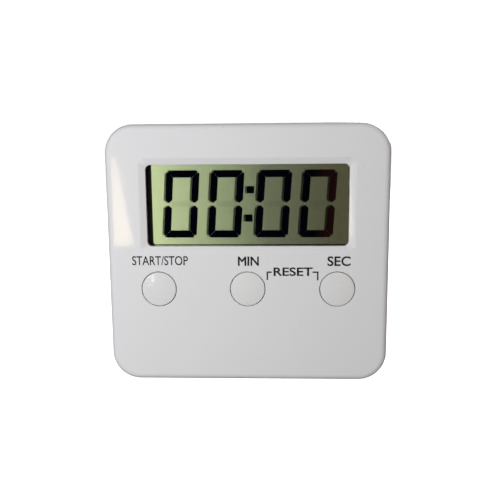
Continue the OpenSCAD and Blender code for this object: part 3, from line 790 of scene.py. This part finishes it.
def mouth(name, middle, radius, front_y):
    """A cutter for a round pocket in the back, whose edge is broken where it meets the surface."""
    tool = drum(name, middle, radius, front_y, back_y - soft_edge)
    pick(tool, "faces", lambda f: on_level(f, back_y - soft_edge))
    bpy.ops.mesh.extrude_region_move(TRANSFORM_OT_translate={"value": (0, 2 * soft_edge, 0)})
    share = (radius + 2 * soft_edge) / radius
    bpy.ops.transform.resize(value=(share, 1, share), center_override=(middle[0], back_y, middle[1]))
    leave()
    return tool


# The pockets and holes themselves, first the battery pocket with the notches that let the lugs out
notch_r_out = lug_r + cover_gap
notch_half_w = lug_w / 2 + cover_gap
through_y = ledge_front_y - beyond / 2
notch_bar = block(
    "notch_bar", (-notch_r_out, through_y, cover_middle[1] - notch_half_w),
    (notch_r_out, back_y - cover_t, cover_middle[1] + notch_half_w),
)
pick(notch_bar, "faces", lambda f: True)
centre = (0, back_y, cover_middle[1])
bpy.ops.transform.rotate(value=-twist, orient_axis="Y", center_override=centre)
leave()
combine(notch_bar, drum("bar_room", cover_middle, notch_r_out, through_y, back_y - cover_t), "INTERSECT")
battery_room = mouth("cover_seat", cover_middle, cover_r + cover_gap, back_y - cover_t - 0.1 * MM)
for tool in (
    drum("ledge_hole", cover_middle, ledge_r, through_y, back_y - cover_t + beyond / 4),
    notch_bar,
    drum("groove", cover_middle, cover_r + groove_gap, groove_front_y, ledge_front_y),
    drum("cell_pocket", cover_middle, cell_room_r, cell_low.y - 0.2 * MM, back_y - cover_t),
):
    combine(battery_room, tool, "UNION")
pockets = [
    battery_room,
    block(
        "stand_room", (-leaf_half - gap, recess_floor_y, stand_low.z - gap),
        (leaf_half + gap, outside_y, hinge_z + barrel_room),
    ),
    block(
        "barrel_space", (-leaf_half - gap, barrel_floor_y, hinge_z - barrel_room),
        (leaf_half + gap, outside_y, hinge_z + barrel_room),
    ),
    drum("finger_notch", (0, stand_low.z), notch_r, recess_floor_y, outside_y),
    drum("sounder_room", sounder_place, sounder_room_r, sounder_high.y - beyond, inner_back_y, 64),
    drum("sound_hole", sounder_place, sound_hole_r, inner_back_y - beyond, outside_y, 24),
]
for step in range(sound_hole_n):
    angle = 2 * math.pi * step / sound_hole_n
    place = (
        sounder_place[0] + sound_ring_r * math.cos(angle),
        sounder_place[1] + sound_ring_r * math.sin(angle),
    )
    pockets.append(drum("sound_hole", place, sound_hole_r, inner_back_y - beyond, outside_y, 24))
for place in magnet_places:
    pockets.append(mouth("magnet_seat", place, magnet_r + 0.1 * MM, magnet_low.y - 0.05 * MM))
for place in screw_places:
    pockets.append(mouth("head_well", place, screw_head_r + 0.2 * MM, seat_y))
    pockets.append(drum("screw_hole", place, screw_hole_r, seam_y - 2 * tongue_l, outside_y, 32))
deselect()
bpy.ops.mesh.primitive_cylinder_add(
    vertices=48, radius=pin_hole_r, depth=2 * (leaf_half + gap + pin_room),
    location=(0, hinge_y, hinge_z), rotation=(0, math.pi / 2, 0),
)
pockets.append(added("pin_hole"))

# Sunk marks beside the cover: a bar where it is closed and a ring where it comes off
mark_r = cover_r + 1.7 * MM
mark_t = 0.3 * MM
for step, (half_w, half_h) in enumerate(((0.3 * MM, 0.9 * MM), (0.8 * MM, 0.8 * MM))):
    mark_x = mark_r * math.sin(twist * step)
    mark_z = cover_middle[1] + mark_r * math.cos(twist * step)
    mark = block(
        "mark", (mark_x - half_w, back_y - mark_t, mark_z - half_h),
        (mark_x + half_w, outside_y, mark_z + half_h),
    )
    round_corners(mark, half_w * 0.98, 8)
    pockets.append(mark)
for tool in pockets:
    combine(back, tool)
ring_core_r = 0.4 * MM
ring_at = (mark_r * math.sin(twist), cover_middle[1] + mark_r * math.cos(twist))
combine(back, drum("ring_core", ring_at, ring_core_r, back_y - wall / 2, back_y, 32), "UNION")
finish_edges(back, soft_edge, where=lambda e: on_level(e, seam_y))


def satin_white(name, tone, roughness, grain_size, grain_depth):
    """White moulded plastic with a fine spark-eroded texture, rubbed a little smoother in places."""
    satin = Finish(name, Specular_IOR_Level=0.45, IOR=1.5)
    drift = satin.noise(20 * MM, 3.0)
    rubbed = satin.noise(9 * MM, 4.0, (1.0, 1.0, 0.4))
    grain = satin.noise(grain_size, 2.0)
    speck = satin.noise(0.6 * MM, 1.0) > 0.77
    duller = tuple(0.96 * c for c in tone[:2]) + (tone[2] * 0.94, 1)
    base = satin.mix(drift, tone + (1,), duller)
    satin.set(Base_Color=satin.mix(speck * 0.3, base, (0.38, 0.36, 0.33, 1)))
    satin.set(Roughness=roughness + 0.12 * grain - 0.1 * satin.fade(rubbed, 0.5, 0.7))
    return satin.bump(grain + 0.5 * satin.noise(4 * grain_size, 2.0), grain_depth)


satin_white("back_white", (0.79, 0.79, 0.79), 0.38, 0.16 * MM, 0.014 * MM).onto(back)
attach(back, "case")
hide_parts("back_shell")

# --------------------------------------------------------------------------------------------------
# Battery cover
# A round moulded cap that a coin turns through 40 degrees. Two lugs inside catch under the ledge of
# the pocket, and a bar on its face points to the closed mark.

boss_r = 7.15 * MM
lug_front_y = cover_low.y
lug_back_y = ledge_front_y - 0.1 * MM
cover = drum("cover_cap", cover_middle, cover_r, back_y - cover_t, back_y)
combine(cover, drum("boss", cover_middle, boss_r, lug_front_y, back_y - cover_t / 2), "UNION")
lug_bar = block(
    "lug_bar", (-lug_r, lug_front_y, cover_middle[1] - lug_w / 2),
    (lug_r, lug_back_y, cover_middle[1] + lug_w / 2),
)
combine(lug_bar, drum("lug_room", cover_middle, lug_r, lug_front_y, lug_back_y), "INTERSECT")
combine(cover, lug_bar, "UNION")
combine(cover, drum("cell_room", cover_middle, cell_room_r, lug_front_y - beyond, back_y - cover_t))
slot_half_l = 5.5 * MM
slot_half_w = 0.9 * MM
coin_slot = block(
    "coin_slot", (-slot_half_l, back_y - 0.6 * MM, cover_middle[1] - slot_half_w),
    (slot_half_l, outside_y, cover_middle[1] + slot_half_w),
)
round_corners(coin_slot, slot_half_w - 0.02 * MM, 8)
combine(cover, coin_slot)
pointer = block(
    "pointer", (-0.3 * MM, back_y - 0.25 * MM, cover_middle[1] + cover_r - 3.2 * MM),
    (0.3 * MM, outside_y, cover_middle[1] + cover_r - 1.2 * MM),
)
round_corners(pointer, 0.29 * MM, 6)
combine(cover, pointer)
finish_edges(cover, 0.1 * MM, 30.0, 2, where=lambda e: on_level(e, back_y))
satin_white("cover_white", (0.78, 0.78, 0.78), 0.34, 0.16 * MM, 0.012 * MM).onto(cover)
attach(cover, "battery_cover")
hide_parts("battery_cover")

# --------------------------------------------------------------------------------------------------
# Stand
# A moulded leaf that folds out of its recess on two stub pins, with ribs for the fingertip at its
# free end and a sunk panel that keeps the moulding an even thickness.

leaf_back_y = stand_high.y
barrel_r = 1.4 * MM
pin_r = 1.0 * MM
leaf_front_y = back_y - 1.85 * MM
leaf = block(
    "stand_leaf", (-leaf_half, leaf_front_y, stand_low.z), (leaf_half, leaf_back_y, hinge_z)
)
pick(leaf, "edges", lambda e: along_depth(e) and e.verts[0].co.z < stand_low.z + 0.01 * MM)
bpy.ops.mesh.bevel(offset=2.5 * MM, segments=10, affect="EDGES")
leave()
panel_half = 9.2 * MM
panel_cut = block(
    "panel_cut", (-panel_half, leaf_back_y - 0.3 * MM, stand_low.z + 6.2 * MM),
    (panel_half, outside_y, hinge_z - 2.8 * MM),
)
round_corners(panel_cut, 1.2 * MM, 6)
combine(leaf, panel_cut)
rib_n = 4
rib_half = 4.6 * MM
rib_pitch = 1.05 * MM
rib_w = 0.5 * MM
for step in range(rib_n):
    rib_z = stand_low.z + 1.5 * MM + step * rib_pitch
    groove = block(
        "rib_groove", (-rib_half, leaf_back_y - 0.25 * MM, rib_z), (rib_half, outside_y, rib_z + rib_w)
    )
    round_corners(groove, 0.24 * MM, 4)
    combine(leaf, groove)
for name, radius, half_l in (("barrel", barrel_r, leaf_half), ("pins", pin_r, stand_high.x)):
    deselect()
    bpy.ops.mesh.primitive_cylinder_add(
        vertices=48, radius=radius, depth=2 * half_l,
        location=(0, hinge_y, hinge_z), rotation=(0, math.pi / 2, 0),
    )
    combine(leaf, added(name), "UNION")
finish_edges(
    leaf, 0.12 * MM, 30.0, 2,
    where=lambda e: all(v.co.z < hinge_z - barrel_r - 0.2 * MM for v in e.verts),
)
satin_white("stand_white", (0.79, 0.79, 0.79), 0.34, 0.16 * MM, 0.012 * MM).onto(leaf)
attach(leaf, "stand")
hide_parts("stand")

# --------------------------------------------------------------------------------------------------
# Magnets
# Two sintered ferrite discs with ground faces and broken edges, glued into their seats. They hold
# the timer on a metal door.

ferrite = Finish("magnet_ferrite", Metallic=0.35, Specular_IOR_Level=0.5)
sinter = ferrite.noise(0.35 * MM, 4.0)
lay = ferrite.noise(0.5 * MM, 2.0, (0.15, 1.0, 4.0))
ferrite.set(Base_Color=ferrite.mix(sinter, (0.028, 0.028, 0.03, 1), (0.07, 0.069, 0.07, 1)))
ferrite.set(Roughness=0.42 + 0.25 * lay).bump(sinter + lay, 0.012 * MM)
for name in ("magnet_left", "magnet_right"):
    low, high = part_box(name)
    disc = drum(name + "_disc", ((low.x + high.x) / 2, (low.z + high.z) / 2), magnet_r, low.y, high.y)
    finish_edges(disc, 0.22 * MM, 40.0, 2)
    ferrite.onto(disc)
    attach(disc, "case")
    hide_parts(name)

# --------------------------------------------------------------------------------------------------
# Case screws
# Four self-tapping screws, zinc plated, with a low domed head and a cross recess. They go in from
# the back and bite into the posts of the front shell.

head_y = screw_high.y
shank_r = 0.9 * MM
crest = 0.72
thread_n = 11
thread_pitch = (seat_y - screw_low.y) * 0.85 / thread_n


def case_screw(name, place):
    x, z = place
    middle = Vector((x, 0, z))
    screw = drum(name, place, screw_head_r, seat_y, head_y, 48)
    pick(screw, "edges", lambda e: on_level(e, head_y))
    bpy.ops.mesh.bevel(offset=0.55 * MM, segments=4, affect="EDGES")
    leave()
    pick(screw, "faces", lambda f: on_level(f, seat_y))
    scale = shank_r / screw_head_r
    bpy.ops.mesh.extrude_region_move(TRANSFORM_OT_translate={"value": (0, 0, 0)})
    bpy.ops.transform.resize(value=(scale, 1, scale), center_override=middle)
    for turn in range(thread_n):
        for grow, share in ((crest, 0.2), (1.0, 0.3), (1 / crest, 0.3), (1.0, 0.2)):
            step = (0, -thread_pitch * share, 0)
            bpy.ops.mesh.extrude_region_move(TRANSFORM_OT_translate={"value": step})
            bpy.ops.transform.resize(value=(grow, 1, grow), center_override=middle)
    rest_l = seat_y - screw_low.y - thread_n * thread_pitch
    bpy.ops.mesh.extrude_region_move(TRANSFORM_OT_translate={"value": (0, -rest_l, 0)})
    bpy.ops.transform.resize(value=(0.25, 1, 0.25), center_override=middle)
    leave()
    for half_x, half_z in ((1.05 * MM, 0.24 * MM), (0.24 * MM, 1.05 * MM)):
        arm = block(
            "cross_arm", (x - half_x, head_y - 0.6 * MM, z - half_z),
            (x + half_x, head_y + beyond, z + half_z),
        )
        pick(arm, "faces", lambda f: f.normal.y < -0.9)
        bpy.ops.transform.resize(value=(0.7, 1, 0.7), center_override=middle)
        leave()
        combine(screw, arm)
    finish_edges(
        screw, 0.04 * MM, 45.0, 2, where=lambda e: all(v.co.y > head_y - 0.7 * MM for v in e.verts)
    )
    return screw


zinc = Finish("zinc_plate", Metallic=1.0)
blotch = zinc.noise(0.8 * MM, 3.0)
scratch = zinc.noise(0.4 * MM, 2.0, (1.0, 1.0, 0.12))
zinc.set(Base_Color=zinc.mix(blotch, (0.52, 0.52, 0.53, 1), (0.66, 0.655, 0.64, 1)))
zinc.set(Roughness=0.24 + 0.2 * scratch).bump(scratch, 0.006 * MM)
for number, place in enumerate(screw_places, 1):
    piece = case_screw(f"case_screw_{number}", place)
    zinc.onto(piece)
    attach(piece, "case")
    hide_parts("case_screws")

# --------------------------------------------------------------------------------------------------
# Circuit board and the chip
# Green lacquered glass-fibre board with copper tracks that show through the lacquer. The chip lies
# bare on it under a drop of black resin.

lacquer = Finish("board_green", Specular_IOR_Level=0.5, Coat_Roughness=0.15)
weave_x = lacquer.math("PINGPONG", lacquer.along(0), 0.35 * MM)
weave_z = lacquer.math("PINGPONG", lacquer.along(2), 0.35 * MM)
weave = (weave_x + weave_z) * (1 / (0.7 * MM))
wander = 0.9 * MM * lacquer.noise(9 * MM, 0.0)
track_row = lacquer.math("PINGPONG", lacquer.along(2) + wander, 0.65 * MM) < 0.2 * MM
track_field = lacquer.noise(7 * MM, 0.0) > 0.52
track = track_row * track_field
green = lacquer.mix(weave, (0.012, 0.13, 0.045, 1), (0.016, 0.16, 0.055, 1))
lacquer.set(Base_Color=lacquer.mix(track, green, (0.05, 0.27, 0.09, 1)))
lacquer.set(Roughness=0.32 + 0.1 * weave, Coat_Weight=0.3 + 0.2 * track).bump(track + 0.2 * weave, 0.03 * MM)
lacquer.onto(nodes["circuit_board"])

resin = Finish("chip_resin", Specular_IOR_Level=0.5)
flow = resin.noise(2.5 * MM, 3.0)
resin.set(Base_Color=resin.mix(flow, (0.008, 0.008, 0.009, 1), (0.022, 0.021, 0.02, 1)))
resin.set(Roughness=0.2 + 0.25 * flow).bump(flow, 0.05 * MM)
resin.onto(nodes["chip_blob"])

# --------------------------------------------------------------------------------------------------
# Crystal, chip parts, contacts and board screws
# Small bright metal parts soldered to the board, ceramic chip capacitors and resistors with tinned
# ends, and the screws that clamp board and membrane to the front shell.


def metal(name, dark, light, roughness, grain_size, stretch=(1, 1, 1)):
    """A metal surface with a directional grain and faint blotches."""
    made = Finish(name, Metallic=1.0)
    cloud = made.noise(3 * grain_size, 3.0)
    grain = made.noise(grain_size, 2.0, stretch)
    made.set(Base_Color=made.mix(cloud, dark + (1,), light + (1,)))
    return made.set(Roughness=roughness + 0.2 * grain).bump(grain, 0.005 * MM)


drawn_can = metal("crystal_can", (0.60, 0.60, 0.61), (0.72, 0.72, 0.72), 0.2, 0.3 * MM, (0.1, 1, 1))
drawn_can.onto(nodes["timing_crystal"])
metal("board_screw", (0.50, 0.50, 0.51), (0.62, 0.62, 0.62), 0.28, 0.3 * MM).onto(nodes["board_screws"])
spring_plate = metal("contact_spring", (0.62, 0.59, 0.52), (0.74, 0.71, 0.64), 0.25, 0.4 * MM, (1, 1, 0.1))
spring_plate.onto(nodes["positive_contact"])
spring_plate.onto(nodes["negative_contact"])


def chip_part(name, body_dark, body_light, node):
    """A ceramic block whose two ends, along the height, are tinned."""
    made = Finish(name)
    low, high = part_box(node)
    reach = (high.z - low.z) / 2
    from_middle = made.math("ABSOLUTE", made.along(2) - (low.z + high.z) / 2)
    tinned = from_middle > 0.62 * reach
    cloud = made.noise(0.3 * MM, 2.0)
    body = made.mix(cloud, body_dark + (1,), body_light + (1,))
    made.set(Base_Color=made.mix(tinned, body, (0.68, 0.68, 0.67, 1)), Metallic=tinned)
    return made.set(Roughness=0.4 + 0.2 * cloud).onto(nodes[node])


chip_part("capacitor_ceramic", (0.30, 0.17, 0.08), (0.38, 0.23, 0.12), "chip_capacitors")
chip_part("resistor_ceramic", (0.010, 0.010, 0.011), (0.03, 0.03, 0.03), "chip_resistors")

# --------------------------------------------------------------------------------------------------
# Elastomer strip, foam and key membrane
# The strip joins board and glass through hundreds of carbon layers. Black foam keeps the display
# pressed forward. The membrane is translucent silicone with a dome and a carbon pill for each key.

zebra = Finish("zebra_layers", Specular_IOR_Level=0.3)
layer = zebra.math("PINGPONG", zebra.along(0), 0.12 * MM) < 0.05 * MM
blush = zebra.noise(2 * MM, 2.0)
pink = zebra.mix(blush, (0.62, 0.30, 0.34, 1), (0.70, 0.38, 0.40, 1))
zebra.set(Base_Color=zebra.mix(layer, pink, (0.03, 0.03, 0.03, 1)), Roughness=0.5 + 0.2 * blush)
zebra.onto(nodes["zebra_strip"])

foam = Finish("black_foam", Specular_IOR_Level=0.15, Sheen_Weight=0.15)
cell = foam.node("TexVoronoi", None, {"Vector": foam.place(), "Scale": 1 / (0.3 * MM)})
foam.set(Base_Color=foam.mix(cell, (0.006, 0.006, 0.006, 1), (0.03, 0.03, 0.031, 1)))
foam.set(Roughness=0.85 + 0.1 * cell).bump(cell, 0.08 * MM)
foam.onto(nodes["foam_pad"])

silicone = Finish("membrane_silicone", Specular_IOR_Level=0.35, Subsurface_Weight=0.3)
silicone.shader.inputs["Subsurface Radius"].default_value = (1.0 * MM, 0.9 * MM, 0.8 * MM)
milk = silicone.noise(4 * MM, 3.0)
dust = silicone.noise(0.25 * MM, 2.0)
silicone.set(Base_Color=silicone.mix(milk, (0.60, 0.60, 0.58, 1), (0.68, 0.68, 0.655, 1)))
silicone.set(Roughness=0.5 + 0.2 * dust).bump(dust, 0.01 * MM)
silicone.onto(nodes["key_membrane"])

carbon = Finish("carbon_pill", Specular_IOR_Level=0.25)
carbon_grain = carbon.noise(0.12 * MM, 2.0)
carbon.set(Base_Color=carbon.mix(carbon_grain, (0.008, 0.008, 0.008, 1), (0.03, 0.03, 0.03, 1)))
carbon.set(Roughness=0.6 + 0.2 * carbon_grain).bump(carbon_grain, 0.01 * MM)
for name in ("start_pill", "minute_pill", "second_pill"):
    carbon.onto(nodes[name])

# --------------------------------------------------------------------------------------------------
# Sounder, its wires and the button cell
# A brass disc with a white ceramic disc bonded to it, joined to the board by a red and a black wire.
# The cell's stainless can faces the cover.

rolled_brass = metal("sounder_brass", (0.52, 0.36, 0.13), (0.66, 0.48, 0.20), 0.3, 0.5 * MM, (0.1, 1, 1))
rolled_brass.onto(nodes["piezo_disc"])
cell_steel = metal("cell_steel", (0.58, 0.58, 0.59), (0.70, 0.70, 0.70), 0.22, 0.5 * MM, (0.12, 1, 1))
cell_steel.onto(nodes["button_cell"])

ceramic = Finish("sounder_silver", Metallic=0.6)
fired = ceramic.noise(1.2 * MM, 4.0)
ceramic.set(Base_Color=ceramic.mix(fired, (0.66, 0.64, 0.58, 1), (0.78, 0.77, 0.73, 1)))
ceramic.set(Roughness=0.5 + 0.2 * fired).bump(fired, 0.01 * MM)
ceramic.onto(nodes["piezo_ceramic"])

for name, dark, light in (
    ("piezo_wire_red", (0.33, 0.01, 0.01, 1), (0.48, 0.02, 0.016, 1)),
    ("piezo_wire_black", (0.007, 0.007, 0.007, 1), (0.024, 0.024, 0.024, 1)),
):
    sleeve = Finish(name + "_sleeve", Specular_IOR_Level=0.45)
    cloud = sleeve.noise(1.5 * MM, 3.0)
    sleeve.set(Base_Color=sleeve.mix(cloud, dark, light), Roughness=0.35 + 0.2 * cloud)
    sleeve.bump(sleeve.noise(0.3 * MM, 2.0), 0.01 * MM).onto(nodes[name])
